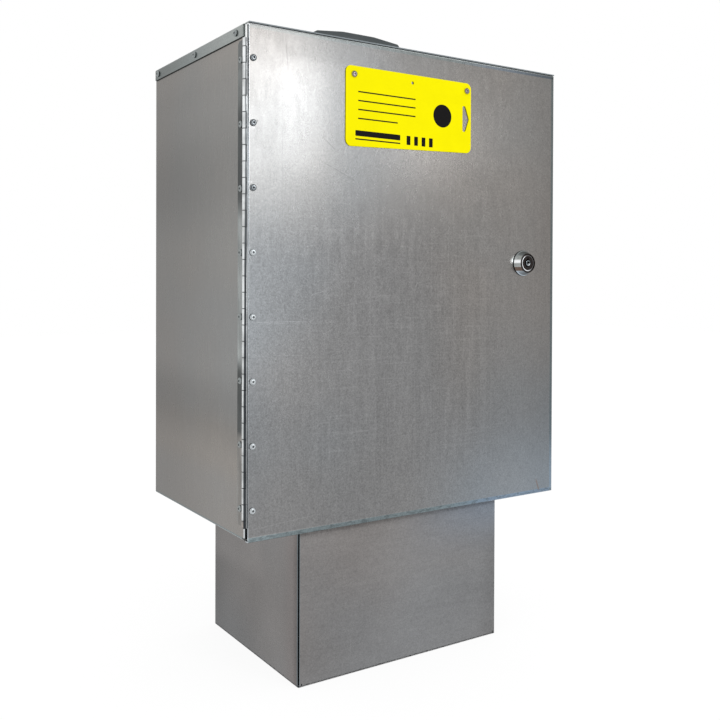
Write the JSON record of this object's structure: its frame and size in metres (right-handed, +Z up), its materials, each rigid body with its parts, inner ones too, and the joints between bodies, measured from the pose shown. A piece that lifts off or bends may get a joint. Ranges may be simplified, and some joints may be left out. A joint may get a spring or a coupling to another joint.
{
  "type": "anti-theft enclosure",
  "caption": "Lockable galvanised steel cabinet on a folded plinth, with a piano-hinged door, a cylinder lock with a turning cam, a riveted roof cap and a carrying handle.",
  "frame": {"origin": "on the ground below the middle of the whole object", "axes": "+Z up, the door faces -Y, the hinge is on the left (-X) and the lock on the right (+X)"},
  "size_m": [0.4951, 0.3142, 0.8521],
  "materials": {
    "galvanised_body": "satin galvanised sheet, faint vertical rolling streaks",
    "galvanised_roof": "satin galvanised sheet, slightly greenish",
    "galvanised_door": "satin galvanised sheet with small scratches",
    "galvanised_plinth": "satin galvanised sheet, scratched",
    "hinge_zinc": "bright rolled steel strip",
    "rivet_zinc": "bright blind rivet",
    "lock_chrome": "polished chrome",
    "lock_black": "blackened lock face",
    "fastener_zinc": "zinc plated fastener",
    "sign_yellow": "yellow sheet with plain black print",
    "handle_slate": "satin slate grey moulding",
    "grommet_black": "black rubber"
  },
  "bodies": {
    "cabinet": {"cabinet_wrap": "galvanised_body", "back_panel": "galvanised_body", "front_header": "galvanised_body", "roof_panel": "galvanised_roof", "plinth_wrap": "galvanised_plinth", "roof_handle": "handle_slate", "cable_grommet": "grommet_black", "hinge_body_leaf": "hinge_zinc", "hinge_pin": "hinge_zinc", "hinge_body_rivet_1": "rivet_zinc", "hinge_body_rivet_2": "rivet_zinc", "hinge_body_rivet_3": "rivet_zinc", "hinge_body_rivet_4": "rivet_zinc", "hinge_body_rivet_5": "rivet_zinc", "hinge_body_rivet_6": "rivet_zinc", "hinge_body_rivet_7": "rivet_zinc", "hinge_body_rivet_8": "rivet_zinc", "roof_rivet_left_1": "rivet_zinc", "roof_rivet_left_2": "rivet_zinc", "roof_rivet_left_3": "rivet_zinc", "roof_rivet_right_1": "rivet_zinc", "roof_rivet_right_2": "rivet_zinc", "roof_rivet_right_3": "rivet_zinc", "roof_rivet_back_1": "rivet_zinc", "roof_rivet_back_2": "rivet_zinc", "roof_rivet_back_3": "rivet_zinc", "base_bolt_1": "fastener_zinc", "base_bolt_2": "fastener_zinc", "base_bolt_3": "fastener_zinc", "base_bolt_4": "fastener_zinc", "base_nut_1": "fastener_zinc", "base_nut_2": "fastener_zinc", "base_nut_3": "fastener_zinc", "base_nut_4": "fastener_zinc", "handle_screw_1": "fastener_zinc", "handle_screw_2": "fastener_zinc"},
    "door": {"door_panel": "galvanised_door", "hinge_door_leaf": "hinge_zinc", "sign_plate": "sign_yellow", "lock_collar": "lock_chrome", "lock_barrel": "lock_black", "lock_nut": "fastener_zinc", "hinge_door_rivet_1": "rivet_zinc", "hinge_door_rivet_2": "rivet_zinc", "hinge_door_rivet_3": "rivet_zinc", "hinge_door_rivet_4": "rivet_zinc", "hinge_door_rivet_5": "rivet_zinc", "hinge_door_rivet_6": "rivet_zinc", "hinge_door_rivet_7": "rivet_zinc", "hinge_door_rivet_8": "rivet_zinc", "plate_rivet_1": "rivet_zinc", "plate_rivet_2": "rivet_zinc"},
    "lock_core": {"lock_plug": "lock_chrome", "lock_cam": "fastener_zinc", "cam_screw": "fastener_zinc"}
  },
  "joints": [
    {"name": "door_hinge", "type": "hinge", "parent": "cabinet", "child": "door", "pos_m": [-0.24555, -0.1396, 0.4973], "axis": [0, 0, -1], "range_deg": [0, 200]},
    {"name": "lock_turn", "type": "hinge", "parent": "door", "child": "lock_core", "pos_m": [0.183, -0.14415, 0.5263], "axis": [0, 1, 0], "range_deg": [0, 90]}
  ]
}
